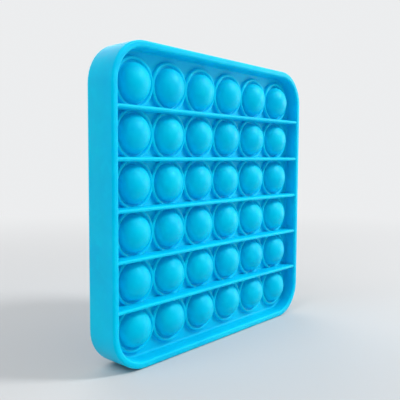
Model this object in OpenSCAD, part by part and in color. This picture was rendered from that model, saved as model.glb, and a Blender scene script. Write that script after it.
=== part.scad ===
// Bubble popping board: a square silicone board that stands on its bottom edge, bubbles to the front.
// One moulded piece. The rim, the web, the ribs, the rings and the bubbles are one solid.
// X is the width, Y the depth with the front at -Y, Z is up. The origin is the middle of the foot.

/* [Board] */
// Bubbles along each side of the board
bubbles_per_side = 6; // [3:1:8]
// Distance between the centres of two neighbouring bubbles
pitch = 19; // [16:0.5:26]
// Strip of web left between the outermost cells and the rim
margin = 2.7; // [1.7:0.1:8]
// Depth of the board from front lip to back lip
depth = 15; // [12:0.5:24]
// Thickness of the web that carries the bubbles
web_t = 1.8; // [1.2:0.1:3]

/* [Rim] */
// Thickness of the rim's wall
rim_t = 2.8; // [2.2:0.1:5]
// Corner radius of the rim, outside
corner_r = 16; // [12:0.5:18]
// Rounding of the rim's lips
lip_r = 0.9; // [0.4:0.1:1]
// Fillet between the rim's wall and the web
fillet_r = 1.2; // [0.5:0.1:1.6]

/* [Ribs] */
// Thickness of the ribs at their crests
rib_t = 1.6; // [1:0.1:2.6]
// Draft of the ribs' sides, in degrees
rib_draft = 1.5; // [0.5:0.5:4]
// Step from the rim's lips back to the ribs' crests
rib_inset = 0.3; // [0.1:0.1:2]

/* [Rings] */
// Gap between the crests of two neighbouring rings
ring_gap = 0.6; // [0.4:0.1:3]
// Width of a ring's raised bead
ring_w = 1.5; // [1:0.1:2]
// Height of a ring's crest over the web
ring_h = 1.6; // [1:0.1:3]

/* [Bubbles] */
// Width of the groove between a ring and its bubble
groove_w = 0.75; // [0.45:0.05:3]
// Wall thickness of a bubble
bubble_t = 1; // [0.6:0.1:1.6]
// Radius of a bubble's shoulder as a share of its dome's height. The crown on it is flatter
shoulder = 0.87; // [0.7:0.01:0.92]
// Step from the rim's front lip back to the bubbles' tops
bubble_inset = 0.3; // [0.1:0.1:2]
// Fillet at a bubble's foot, in the groove
foot_fillet_r = 0.4; // [0.2:0.1:0.6]
// Rounding of a cup's mouth on the back
mouth_r = 0.5; // [0.2:0.1:0.7]

/* [Hidden] */
$fn = 64;
silicone = [0, 0.68, 0.89];

// Width and height of the whole board
side = bubbles_per_side * pitch + 2 * (margin + rim_t);
// Half the web's thickness, measured from the board's middle plane
web_half = web_t / 2;
// Radius of a ring's crest line, and the height of its bead's centre
ring_r = (pitch - ring_gap) / 2;
bead_r = ring_w / 2;
bead_w = web_half + ring_h - bead_r;
// A bubble stands upright at its foot: a shoulder bends in from there to a flatter crown
bubble_r = ring_r - bead_r - groove_w;
bubble_h = depth / 2 - bubble_inset - web_half;
// A dome is at most this share of its radius tall. A taller bubble gets a straight skirt under its dome
steepest = 0.9;
dome_h = min(bubble_h, steepest * bubble_r);
shoulder_r = shoulder * dome_h;
shoulder_x = bubble_r - shoulder_r;
shoulder_w = web_half + bubble_h - dome_h;
// The crown touches the shoulder from outside and ends on the bubble's axis at its full height
crown_rise = dome_h - shoulder_r;
crown_drop = (shoulder_x * shoulder_x + crown_rise * crown_rise) / (2 * crown_rise);
crown_r = shoulder_r + crown_drop;
crown_w = web_half + bubble_h - crown_r;
// The rim's section carries a short stub of web, which the web plate laps
stub = 1;
lap = 0.5;
// Circles that touch run this far into each other, so that no sliver is left between them
bite = 0.002;

// Distance from the board's middle to the centre of bubble i in its row
function place(i) = (i - (bubbles_per_side - 1) / 2) * pitch;

// A rectangle with all its corners rounded, centred on the height axis from x to x + width
module rounded_bar(x, width, height, r) {
    translate([x, r - height / 2]) square([width, height - 2 * r]);
    translate([x + r, -height / 2]) square([width - 2 * r, height]);
    for (dx = [r, width - r], dy = [r, height - r])
        translate([x + dx, dy - height / 2]) circle(r = r);
}

// The corner left between two square walls after a circle rolls along them
module cove(r) {
    difference() {
        square(r);
        translate([0, r]) circle(r = r);
    }
}

// Section of the rim, x measured from the centre of a corner
module rim_section() {
    inner = corner_r - rim_t;
    rounded_bar(inner, rim_t, depth, lip_r);
    translate([inner - fillet_r - stub, -web_half])
        square([fillet_r + stub + rim_t / 2, web_t]);
    for (flip = [0, 1]) mirror([0, flip])
        translate([inner - fillet_r, web_half]) cove(fillet_r);
}

module rim() {
    straight = side - 2 * corner_r;
    middle = side / 2 - corner_r;
    for (turn = [0 : 90 : 270]) rotate(turn) {
        translate([middle, middle]) rotate_extrude(angle = 90) rim_section();
        translate([middle, straight / 2]) rotate([90, 0, 0])
            linear_extrude(height = straight) rim_section();
    }
}

// Outline of the web plate, which ends inside the rim's stub
module web_outline() {
    inset = rim_t + fillet_r + stub - lap;
    width = side - 2 * inset;
    rounded_bar(-width / 2, width, width, corner_r - inset);
}

module web() {
    translate([0, 0, -web_half]) linear_extrude(height = web_t) difference() {
        web_outline();
        for (i = [0 : bubbles_per_side - 1], j = [0 : bubbles_per_side - 1])
            translate([place(i), place(j)]) circle(r = ring_r);
    }
}

// Section of one bead, from the middle plane up
module bead_section() {
    translate([ring_r - bead_r, 0]) square([ring_w, bead_w]);
    translate([ring_r, bead_w]) circle(r = bead_r);
}

// Section of a bubble's round end and of the upright wall under it. The cup's section is the same,
// moved in by the wall's thickness
module bubble_section(wall) {
    // The crown ends on the line through both centres, which runs on to well past the crown
    past = crown_r + depth;
    k = past / crown_drop;
    intersection() {
        translate([0, crown_w]) circle(r = crown_r - wall);
        polygon([[0, crown_w], [shoulder_x * k, crown_w + (shoulder_w - crown_w) * k], [0, crown_w + past]]);
    }
    translate([shoulder_x, shoulder_w]) circle(r = shoulder_r - wall + bite);
    translate([0, -web_half]) square([bubble_r - wall, web_half + shoulder_w]);
}

// Fillet in the groove at the bubble's foot, where its circle touches the shoulder or the upright wall
module foot_fillet() {
    w = web_half + foot_fillet_r;
    dw = max(0, w - shoulder_w);
    apart = shoulder_r + foot_fillet_r - bite;
    dx = sqrt(apart * apart - dw * dw);
    k = (foot_fillet_r + lap) / apart;
    x = shoulder_x + dx;
    difference() {
        polygon([[x, w], [x - dx * k, w - dw * k], [x - dx * k, web_half - lap], [x, web_half - lap]]);
        translate([x, w]) circle(r = foot_fillet_r);
    }
}

// Section of a cell: bubble, groove, web and the beads of its two rings
module cell_section() {
    difference() {
        union() {
            bubble_section(0);
            translate([0, -web_half]) square([ring_r, web_t]);
            foot_fillet();
            for (flip = [0, 1]) mirror([0, flip]) bead_section();
        }
        bubble_section(bubble_t);
        translate([bubble_r - bubble_t + mouth_r, -web_half]) mirror([1, 0]) cove(mouth_r);
        translate([-depth, -depth]) square([depth, 2 * depth]);
        translate([0, -web_half - depth]) square([ring_r - bead_r, depth]);
    }
}

module cells() {
    for (i = [0 : bubbles_per_side - 1], j = [0 : bubbles_per_side - 1])
        translate([place(i), place(j)]) rotate_extrude() cell_section();
}

// Section of a rib's front half: a round crest on sides that widen towards the web
module rib_section() {
    crest_r = rib_t / 2;
    crest_w = depth / 2 - rib_inset - crest_r;
    half_top = crest_r * cos(rib_draft);
    top = crest_w + crest_r * sin(rib_draft);
    half_root = half_top + top * tan(rib_draft);
    polygon([[-half_root, 0], [half_root, 0], [half_top, top], [-half_top, top]]);
    translate([0, crest_w]) circle(r = crest_r);
}

// Ribs run from wall to wall between the rows, front and back
module ribs() {
    length = side - rim_t;
    for (j = [0 : bubbles_per_side - 2])
        translate([-length / 2, place(j) + pitch / 2]) rotate([90, 0, 90])
            linear_extrude(height = length)
                for (flip = [0, 1]) mirror([0, flip]) rib_section();
}

module board() {
    color(silicone) translate([0, 0, side / 2]) rotate([90, 0, 0]) {
        rim();
        web();
        cells();
        ribs();
    }
}

board();
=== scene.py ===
import math

import bmesh
import bpy
from mathutils import Matrix, Vector


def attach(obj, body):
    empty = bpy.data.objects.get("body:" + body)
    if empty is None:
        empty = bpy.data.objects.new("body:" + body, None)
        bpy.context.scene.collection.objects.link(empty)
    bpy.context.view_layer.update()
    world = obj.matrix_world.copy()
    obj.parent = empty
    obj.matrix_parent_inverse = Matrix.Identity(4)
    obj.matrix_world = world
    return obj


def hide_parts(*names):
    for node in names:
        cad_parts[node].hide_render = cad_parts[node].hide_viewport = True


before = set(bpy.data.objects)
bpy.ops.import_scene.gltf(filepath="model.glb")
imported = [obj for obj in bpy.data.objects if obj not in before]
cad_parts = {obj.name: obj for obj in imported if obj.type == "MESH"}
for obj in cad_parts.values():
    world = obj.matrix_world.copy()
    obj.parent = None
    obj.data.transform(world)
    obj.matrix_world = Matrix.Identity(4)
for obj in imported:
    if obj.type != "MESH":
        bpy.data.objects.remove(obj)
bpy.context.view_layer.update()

print("frame loaded")


millimetre = 0.001    # in metres

# The board, in millimetres. Down to mouthRadius the entries are those of the CAD model.
# It is modelled lying flat, x the width, y the height and z towards the bubbles, and stood up at the end.
board = {
    "cells": 6,
    "pitch": 19.0,
    "margin": 2.7,
    "depth": 15.0,
    "webThickness": 1.8,
    "rimThickness": 2.8,
    "cornerRadius": 16.0,
    "lipRadius": 0.9,
    "rimFillet": 1.2,
    "ribThickness": 1.6,
    "ribDraft": 1.5,       # degrees
    "ribInset": 0.3,
    "ringGap": 0.6,
    "ringWidth": 1.5,
    "ringHeight": 1.6,
    "grooveWidth": 0.75,
    "bubbleThickness": 1.0,
    "bubbleInset": 0.3,
    "shoulder": 0.87,      # radius of a dome's shoulder as a share of its height
    "footFillet": 0.4,
    "mouthRadius": 0.5,
    "softFoot": 0.35,      # fillet at the foot of rings and ribs
    "softEnd": 3,          # from a ring to the flat web, counted in those fillets
    "grooveFill": 0.5,     # how far the floor of the groove round a bubble stands over the web
    "spokes": 40,          # faces round a bubble
    "spunReach": 1.5,      # how far a cell's web is spun, as a share of an outermost cell's reach
    "hiddenEdge": 1.4,     # how far the web runs into the rim
    "rimRoot": (0.05, 0.3),           # how far the rim's section runs past its fillets, in and down
    "cornerCuts": (22.5, 45, 67.5),   # degrees, the flats that end the web inside a corner
    "creaseFrom": 35,      # degrees, sharper bends stay crisp
    "cutSnap": 0.0001,     # points this close to a cut lie on it
    "cellSnap": 0.002,     # points this close on two cells are one
    "rimSnap": 0.001,
}

# How many faces each bend and length is made of
steps = {
    "crown": 4,
    "shoulder": 5,
    "footFillet": 3,
    "cupCrown": 3,
    "cupShoulder": 3,
    "cupMouth": 3,
    "bead": 6,
    "softFoot": 2,
    "ribCrest": 4,
    "lip": 4,
    "rimFillet": 5,
    "rimCorner": 12,
    "rimSide": 24,
}

cells = board["cells"]
pitch = board["pitch"]
side = cells * pitch + 2 * (board["margin"] + board["rimThickness"])
webTop = board["webThickness"] / 2
ringRadius = (pitch - board["ringGap"]) / 2
beadRadius = board["ringWidth"] / 2
beadHeight = webTop + board["ringHeight"] - beadRadius
footRadius = ringRadius - beadRadius - board["grooveWidth"]
# a bubble has a flatter crown on rounder shoulders, which start upright at the web
bubbleTop = board["depth"] / 2 - board["bubbleInset"]
shoulder = board["shoulder"] * (bubbleTop - webTop)
shoulderOut = footRadius - shoulder
shoulderDrop = bubbleTop - webTop - shoulder
crownRadius = shoulder + (shoulderOut ** 2 + shoulderDrop ** 2) / (2 * shoulderDrop)
crownCentre = bubbleTop - crownRadius
crownEnd = math.degrees(math.atan2(webTop - crownCentre, shoulderOut))
ribRadius = board["ribThickness"] / 2
ribCentre = board["depth"] / 2 - board["ribInset"] - ribRadius
draft = math.radians(board["ribDraft"])
outerReach = pitch / 2 + board["margin"] + board["hiddenEdge"]
cornerCentre = side / 2 - board["cornerRadius"]


def arcPoints(centre, radius, first, last, parts):
    angles = [math.radians(first + (last - first) * i / parts) for i in range(parts + 1)]
    return [(centre[0] + radius * math.cos(a), centre[1] + radius * math.sin(a)) for a in angles]


def bubbleProfile():    # from the top of the bubble out to the groove
    fillet = board["footFillet"]
    rise = board["grooveFill"] + fillet
    reach = shoulderOut + math.sqrt((shoulder + fillet) ** 2 - rise ** 2)
    touch = math.degrees(math.asin(rise / (shoulder + fillet)))
    points = arcPoints((0, crownCentre), crownRadius, 90, crownEnd, steps["crown"])
    points += arcPoints((shoulderOut, webTop), shoulder, crownEnd, touch, steps["shoulder"])[1:]
    return points + arcPoints((reach, webTop + rise), fillet, touch + 180, 270, steps["footFillet"])[1:]


def cupProfile():       # the same on the back, from the bottom of the cup out to its mouth
    wall, mouth = board["bubbleThickness"], board["mouthRadius"]
    points = arcPoints((0, -crownCentre), crownRadius - wall, -90, -crownEnd, steps["cupCrown"])
    points += arcPoints((shoulderOut, -webTop), shoulder - wall, -crownEnd, 0, steps["cupShoulder"])[1:]
    edge = footRadius - wall + mouth
    return points + arcPoints((edge, webTop - mouth), mouth, 180, 90, steps["cupMouth"])


def ringProfile(fill):    # the raised ring and the web outside it, which runs past the cell's edges
    soft = board["softFoot"]
    inner, outer = ringRadius - beadRadius, ringRadius + beadRadius
    points = arcPoints((inner - soft, webTop + fill + soft), soft, 270, 360, steps["softFoot"])
    points += arcPoints((ringRadius, beadHeight), beadRadius, 180, 0, steps["bead"])
    points += arcPoints((outer + soft, webTop + soft), soft, 180, 270, steps["softFoot"])
    webStart, webEnd = outer + board["softEnd"] * soft, board["spunReach"] * outerReach
    return points + [(webStart, webTop), (webEnd, webTop)]


def cutOff(bm, point, normal, clear=True):    # a cut along the plane, and what lies beyond it goes if clear
    geom = bm.verts[:] + bm.edges[:] + bm.faces[:]
    cut = bmesh.ops.bisect_plane(bm, geom=geom, dist=board["cutSnap"], plane_co=point, plane_no=normal,
                                 clear_outer=clear)
    return [e for e in cut["geom_cut"] if isinstance(e, bmesh.types.BMEdge)]


def raiseRib(bm, up):    # half a rib on the cut edge of a cell, up to its middle line
    edge = up * pitch / 2
    touch = Vector((0, edge - up * ribRadius * math.cos(draft), ribCentre + ribRadius * math.sin(draft)))
    outward = Vector((0, up * math.cos(draft), -math.sin(draft)))
    cutOff(bm, touch - outward * board["softFoot"], outward, clear=False)
    rim = cutOff(bm, touch, outward)
    crest = arcPoints((0, ribCentre), ribRadius, board["ribDraft"], 90, steps["ribCrest"])
    for level in [None] + crest:
        grown = bmesh.ops.extrude_edge_only(bm, edges=rim)["geom"]
        rim = [e for e in grown if isinstance(e, bmesh.types.BMEdge)]
        for v in [g for g in grown if isinstance(g, bmesh.types.BMVert)]:
            if level is None:
                v.co += Vector((0, up * math.sin(draft), math.cos(draft))) * board["softFoot"]
            else:
                v.co.y, v.co.z = edge - up * level[0], level[1]


def makeCell(column, row, profile):
    bm = bmesh.new()
    points = [bm.verts.new((r, 0, h)) for r, h in profile]
    edges = [bm.edges.new(pair) for pair in zip(points, points[1:])]
    bmesh.ops.spin(bm, geom=points + edges, cent=(0, 0, 0), axis=(0, 0, 1), dvec=(0, 0, 0),
                   angle=2 * math.pi, steps=board["spokes"], use_merge=True)
    bmesh.ops.remove_doubles(bm, verts=bm.verts, dist=board["cutSnap"])
    last = cells - 1
    for along, at in ((1, column == last), (-1, column == 0)):
        cutOff(bm, (along * (outerReach if at else pitch / 2), 0, 0), (along, 0, 0))
    for up, at in ((1, row == last), (-1, row == 0)):
        if at:
            cutOff(bm, (0, up * outerReach, 0), (0, up, 0))
    if column in (0, last) and row in (0, last):
        turnX, turnY = (1 if column else -1), (1 if row else -1)
        inset = cornerCentre - pitch * (cells - 1) / 2
        reach = board["cornerRadius"] - board["rimThickness"] + board["hiddenEdge"]
        for angle in map(math.radians, board["cornerCuts"]):
            away = Vector((turnX * math.cos(angle), turnY * math.sin(angle), 0))
            cutOff(bm, Vector((turnX * inset, turnY * inset, 0)) + away * reach, away)
    for up, at in ((1, row == last), (-1, row == 0)):
        if not at:
            raiseRib(bm, up)
    move = [(i - (cells - 1) / 2) * pitch for i in (column, row)]
    bmesh.ops.translate(bm, vec=(move[0], move[1], 0), verts=bm.verts)
    return bm


def addTo(bm, other):
    mesh = bpy.data.meshes.new("cell")
    other.to_mesh(mesh)
    other.free()
    bm.from_mesh(mesh)
    bpy.data.meshes.remove(mesh)


def makeSheet(profile, flip):
    bm = bmesh.new()
    for column in range(cells):
        for row in range(cells):
            addTo(bm, makeCell(column, row, profile))
    bmesh.ops.remove_doubles(bm, verts=bm.verts, dist=board["cellSnap"])
    if flip:
        bmesh.ops.scale(bm, vec=(1, 1, -1), verts=bm.verts)
    return bm


def makeRim():
    lip, fillet = board["lipRadius"], board["rimFillet"]
    outer = board["cornerRadius"]
    inner, top = outer - board["rimThickness"], board["depth"] / 2
    half = [(outer, 0), (outer, top - lip)]
    half += arcPoints((outer - lip, top - lip), lip, 0, 90, steps["lip"])[1:]
    half += arcPoints((inner + lip, top - lip), lip, 90, 180, steps["lip"])
    half += arcPoints((inner - fillet, webTop + fillet), fillet, 0, -90, steps["rimFillet"])
    half += [(inner - fillet - board["rimRoot"][0], webTop - board["rimRoot"][1])]
    section = half + [(d, -h) for d, h in half[:0:-1]]
    bm = bmesh.new()
    points = [bm.verts.new((cornerCentre + d, cornerCentre, h)) for d, h in section]
    geom = points + [bm.edges.new(pair) for pair in zip(points, points[1:] + points[:1])]
    centre = Vector((cornerCentre, cornerCentre, 0))
    straight = Vector((-2 * cornerCentre, 0, 0))
    quarter = Matrix.Rotation(math.pi / 2, 3, "Z")
    for corner in range(4):
        turned = bmesh.ops.spin(bm, geom=geom, cent=centre, axis=(0, 0, 1), dvec=(0, 0, 0),
                                angle=math.pi / 2, steps=steps["rimCorner"], use_merge=False)
        geom = turned["geom_last"]
        for step in range(steps["rimSide"]):
            edges = [g for g in geom if isinstance(g, bmesh.types.BMEdge)]
            geom = bmesh.ops.extrude_edge_only(bm, edges=edges)["geom"]
            moved = [g for g in geom if isinstance(g, bmesh.types.BMVert)]
            bmesh.ops.translate(bm, vec=straight / steps["rimSide"], verts=moved)
            geom = [g for g in geom if not isinstance(g, bmesh.types.BMFace)]
        centre, straight = quarter @ centre, quarter @ straight
    bmesh.ops.remove_doubles(bm, verts=bm.verts, dist=board["rimSnap"])
    bmesh.ops.recalc_face_normals(bm, faces=bm.faces)
    return bm


def asObject(bm, name):
    mesh = bpy.data.meshes.new(name)
    bm.to_mesh(mesh)
    bm.free()
    made = bpy.data.objects.new(name, mesh)
    bpy.context.scene.collection.objects.link(made)
    return made


def weld(first, second):    # both shells become one skin, with nothing left inside
    union = first.modifiers.new("union", "BOOLEAN")
    union.operation = "UNION"
    union.solver = "MANIFOLD"
    union.object = second
    graph = bpy.context.evaluated_depsgraph_get()
    bm = bmesh.new()
    bm.from_object(first, graph)
    for done in (first, second):
        mesh = done.data
        bpy.data.objects.remove(done)
        bpy.data.meshes.remove(mesh)
    return bm


# The soft board stands a little bowed: its web back in the middle, and its ribs down on the left
flex = {
    "sag": 1.9,             # how far back at the most
    "sagPlace": (6, 12),    # from the board's middle, where it is deepest
    "sagSpread": (40, 38),
    "sagEdge": (3, 18),     # from the outer face, where the sag starts and where it is all there
    "droop": 0.9,           # how far down at the left
    "droopHeight": -5,      # from the board's middle, where it is greatest
    "droopSpread": 50,
    "droopEdge": (3, 14),   # the same from the top and the foot
}


def ramp(value, ends):    # 0 before the first end, 1 past the second, smooth between
    share = min(max((value - ends[0]) / (ends[1] - ends[0]), 0), 1)
    return share * share * (3 - 2 * share)


def flexBoard(bm):
    for v in bm.verts:
        x, y, z = v.co
        across = (x - flex["sagPlace"][0]) / flex["sagSpread"][0]
        along = (y - flex["sagPlace"][1]) / flex["sagSpread"][1]
        sag = flex["sag"] * math.exp(-across ** 2 - along ** 2)
        sag *= ramp(side / 2 - max(abs(x), abs(y)), flex["sagEdge"])
        sag *= 1 - ramp(-z, (webTop, ribCentre))    # the crests on the back stay inside the rim
        droop = flex["droop"] * (0.5 - x / side) * ramp(side / 2 - abs(y), flex["droopEdge"])
        droop *= math.exp(-((y - flex["droopHeight"]) / flex["droopSpread"]) ** 2)
        v.co.z -= sag
        v.co.y -= droop


def openEdges(bm):
    return sum(not e.is_manifold for e in bm.edges)


def makeBoard():
    sheets = makeSheet(bubbleProfile() + ringProfile(board["grooveFill"]), False)
    print("front sheet", len(sheets.faces), "faces")
    addTo(sheets, makeSheet(cupProfile() + ringProfile(0), True))
    bmesh.ops.bridge_loops(sheets, edges=[e for e in sheets.edges if e.is_boundary])
    bmesh.ops.recalc_face_normals(sheets, faces=sheets.faces)
    print("both sheets", len(sheets.faces), "faces, open edges", openEdges(sheets))
    bm = weld(asObject(sheets, "sheets"), asObject(makeRim(), "rim"))
    print("welded", len(bm.faces), "faces, open edges", openEdges(bm))
    flexBoard(bm)
    for edge in bm.edges:
        edge.smooth = edge.calc_face_angle(0) < math.radians(board["creaseFrom"])
    bmesh.ops.rotate(bm, cent=(0, 0, 0), matrix=Matrix.Rotation(math.pi / 2, 3, "X"), verts=bm.verts)
    bmesh.ops.translate(bm, vec=(0, 0, side / 2), verts=bm.verts)
    bmesh.ops.scale(bm, vec=[millimetre] * 3, verts=bm.verts)
    for face in bm.faces:
        face.smooth = True
    piece = asObject(bm, "bubbleBoard")
    piece.modifiers.new("flatsStayFlat", "WEIGHTED_NORMAL")
    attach(piece, "root")
    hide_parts("board")
    print("board", sum(len(f.vertices) - 2 for f in piece.data.polygons), "triangles")
    return piece


# The silicone: one colour right through, satin, with the slight unevenness of a moulded part
silicone = {
    "color": (0.0, 0.61, 0.87, 1),
    "pale": (0.006, 0.66, 0.92, 1),     # the faint bloom that a moulded silicone gets
    "deep": (0.0, 0.54, 0.83, 1),       # where the pigment lies thicker
    "mottle": (45.0, 3, 0.55),          # scale per metre, so about 22 mm, detail and roughness of the noise
    "mottleRange": (0.35, 0.65),
    "bloom": (210.0, 5, 0.6),
    "bloomRange": (0.5, 0.75),
    "bloomShare": 0.5,
    "roughness": (0.38, 0.52),
    "roughRange": (0.3, 0.7),
    "grain": (2600.0, 4, 0.5),          # the fine matte grain of the mould
    "grainHeight": 0.00001,
    "flow": (130.0, 2, 0.5),            # soft hollows and swells of the cured wall
    "flowHeight": 0.00012,
    "specular": 0.25,
    "gloss": (0.0, 0.8, 1.0, 1),
    "subsurface": 0.6,
    "glowDepth": 0.003,
    "glowReach": (0.12, 0.78, 1.0),     # red dies out first
}


def makeSilicone():
    material = bpy.data.materials.new("cyanSilicone")
    material.use_nodes = True
    nodes, links = material.node_tree.nodes, material.node_tree.links
    shader = nodes["Principled BSDF"]
    shader.inputs["Specular IOR Level"].default_value = silicone["specular"]
    shader.inputs["Specular Tint"].default_value = silicone["gloss"]
    shader.inputs["Subsurface Weight"].default_value = silicone["subsurface"]
    shader.inputs["Subsurface Scale"].default_value = silicone["glowDepth"]
    shader.inputs["Subsurface Radius"].default_value = silicone["glowReach"]
    place = nodes.new("ShaderNodeTexCoord")

    def noiseOf(settings):
        scale, detail, rough = settings
        field = nodes.new("ShaderNodeTexNoise")
        field.inputs["Scale"].default_value = scale
        field.inputs["Detail"].default_value = detail
        field.inputs["Roughness"].default_value = rough
        links.new(place.outputs["Object"], field.inputs["Vector"])
        return field.outputs["Fac"]

    def spread(value, given, wanted):
        span = nodes.new("ShaderNodeMapRange")
        for name, number in zip(("From Min", "From Max", "To Min", "To Max"), given + wanted):
            span.inputs[name].default_value = number
        links.new(value, span.inputs["Value"])
        return span.outputs["Result"]

    def tint(share, first, second):
        mix = nodes.new("ShaderNodeMix")
        mix.data_type = "RGBA"
        links.new(share, mix.inputs["Factor"])
        for socket, color in ((mix.inputs["A"], first), (mix.inputs["B"], second)):
            if isinstance(color, tuple):
                socket.default_value = color
            else:
                links.new(color, socket)
        return mix.outputs["Result"]

    thickness = spread(noiseOf(silicone["mottle"]), silicone["mottleRange"], (0, 1))
    bloom = noiseOf(silicone["bloom"])
    haze = spread(bloom, silicone["bloomRange"], (0, silicone["bloomShare"]))
    pigment = tint(thickness, silicone["deep"], silicone["color"])
    links.new(tint(haze, pigment, silicone["pale"]), shader.inputs["Base Color"])
    links.new(spread(bloom, silicone["roughRange"], silicone["roughness"]), shader.inputs["Roughness"])

    normal = None
    for layer in ("flow", "grain"):
        bump = nodes.new("ShaderNodeBump")
        bump.inputs["Distance"].default_value = silicone[layer + "Height"]
        links.new(noiseOf(silicone[layer]), bump.inputs["Height"])
        if normal:
            links.new(normal, bump.inputs["Normal"])
        normal = bump.outputs["Normal"]
    links.new(normal, shader.inputs["Normal"])
    return material


piece = makeBoard()
piece.data.materials.append(makeSilicone())


# Floor and backdrop: one pale disc that fades into the pale surroundings away from the board
studio = {
    "pale": (0.84, 0.85, 0.86, 1),
    "floor": (0.58, 0.59, 0.6, 1),
    "floorRoughness": 0.8,
    "floorRadius": 6.0,
    "floorSides": 96,
    "fadeFrom": 0.12,
    "fadeTo": 0.6,
    "world": (1, 1, 1, 1),
    "worldLevel": 0.43,
}


def seenRays(nodes, links):    # the rays that see the backdrop, straight on, mirrored or through something
    path = nodes.new("ShaderNodeLightPath")
    share = path.outputs["Is Camera Ray"]
    for kind in ("Is Glossy Ray", "Is Transmission Ray"):
        both = nodes.new("ShaderNodeMath")
        both.operation = "MAXIMUM"
        links.new(share, both.inputs[0])
        links.new(path.outputs[kind], both.inputs[1])
        share = both.outputs["Value"]
    return share


def makeStudio():
    bm = bmesh.new()
    bmesh.ops.create_circle(bm, cap_ends=True, radius=studio["floorRadius"], segments=studio["floorSides"])
    floor = asObject(bm, "floor")

    material = bpy.data.materials.new("paleFloor")
    material.use_nodes = True
    nodes, links = material.node_tree.nodes, material.node_tree.links
    shader, output = nodes["Principled BSDF"], nodes["Material Output"]
    shader.inputs["Base Color"].default_value = studio["floor"]
    shader.inputs["Roughness"].default_value = studio["floorRoughness"]
    place = nodes.new("ShaderNodeTexCoord")
    length = nodes.new("ShaderNodeVectorMath")
    length.operation = "LENGTH"
    fade = nodes.new("ShaderNodeMapRange")
    fade.interpolation_type = "SMOOTHSTEP"
    fade.inputs["From Min"].default_value = studio["fadeFrom"]
    fade.inputs["From Max"].default_value = studio["fadeTo"]
    seen = nodes.new("ShaderNodeMath")
    seen.operation = "MULTIPLY"
    glow = nodes.new("ShaderNodeEmission")
    glow.inputs["Color"].default_value = studio["pale"]
    mix = nodes.new("ShaderNodeMixShader")
    links.new(place.outputs["Object"], length.inputs[0])
    links.new(length.outputs["Value"], fade.inputs["Value"])
    links.new(fade.outputs["Result"], seen.inputs[0])
    links.new(seenRays(nodes, links), seen.inputs[1])
    links.new(seen.outputs["Value"], mix.inputs["Fac"])
    links.new(shader.outputs["BSDF"], mix.inputs[1])
    links.new(glow.outputs["Emission"], mix.inputs[2])
    links.new(mix.outputs["Shader"], output.inputs["Surface"])
    floor.data.materials.append(material)

    world = bpy.data.worlds.new("paleRoom")
    bpy.context.scene.world = world
    world.use_nodes = True
    nodes, links = world.node_tree.nodes, world.node_tree.links
    light = nodes["Background"]
    light.inputs["Color"].default_value = studio["world"]
    light.inputs["Strength"].default_value = studio["worldLevel"]
    back = nodes.new("ShaderNodeBackground")
    back.inputs["Color"].default_value = studio["pale"]
    mix = nodes.new("ShaderNodeMixShader")
    links.new(seenRays(nodes, links), mix.inputs["Fac"])
    links.new(light.outputs["Background"], mix.inputs[1])
    links.new(back.outputs["Background"], mix.inputs[2])
    links.new(mix.outputs["Shader"], nodes["World Output"].inputs["Surface"])


makeStudio()


# Lamps: the key from the upper right, and soft ones at the right, at the left and behind
lamps = {
    "key": {"place": (0.44, -0.53, 0.65), "size": 0.2, "watts": 5.1},
    "right": {"place": (0.808, -0.377, 0.188), "size": 0.4, "watts": 1.35},
    "left": {"place": (-0.54, -0.06, 0.76), "size": 0.6, "watts": 3.1},
    "behind": {"place": (0.35, 0.65, 0.5), "size": 0.8, "watts": 2.0},
}


def makeLamps():
    aim = Vector((0, 0, side / 2 * millimetre))
    for name, lamp in lamps.items():
        data = bpy.data.lights.new(name, "AREA")
        data.shape = "DISK"
        data.size = lamp["size"]
        data.energy = lamp["watts"]
        light = bpy.data.objects.new(name, data)
        light.location = lamp["place"]
        light.rotation_euler = (aim - light.location).to_track_quat("-Z", "Y").to_euler()
        bpy.context.scene.collection.objects.link(light)


makeLamps()


# Camera: where the photograph was taken from, in metres and degrees
view = {
    "place": (-0.18252, -0.15648, 0.08075),
    "yaw": 48.18,
    "pitch": -4.32,
    "roll": 0.33,
    "lens": 47.76,        # millimetres, as is the sensor's width
    "sensor": 36,
    "nearest": 0.01,
}


def makeCamera():
    yaw, pitchAngle, roll = (math.radians(view[k]) for k in ("yaw", "pitch", "roll"))
    forward = Vector((math.sin(yaw) * math.cos(pitchAngle), math.cos(yaw) * math.cos(pitchAngle),
                      math.sin(pitchAngle)))
    right = Vector((math.cos(yaw), -math.sin(yaw), 0))
    up = right.cross(forward)
    across = math.cos(roll) * right + math.sin(roll) * up
    upright = math.cos(roll) * up - math.sin(roll) * right
    data = bpy.data.cameras.new("camera")
    data.lens = view["lens"]
    data.sensor_width = view["sensor"]
    data.clip_start = view["nearest"]
    camera = bpy.data.objects.new("camera", data)
    turn = Matrix((across, upright, -forward)).transposed().to_4x4()
    camera.matrix_world = Matrix.Translation(view["place"]) @ turn
    bpy.context.scene.collection.objects.link(camera)
    bpy.context.scene.camera = camera


makeCamera()
bpy.context.scene.view_settings.view_transform = "Standard"
print("studio ready")
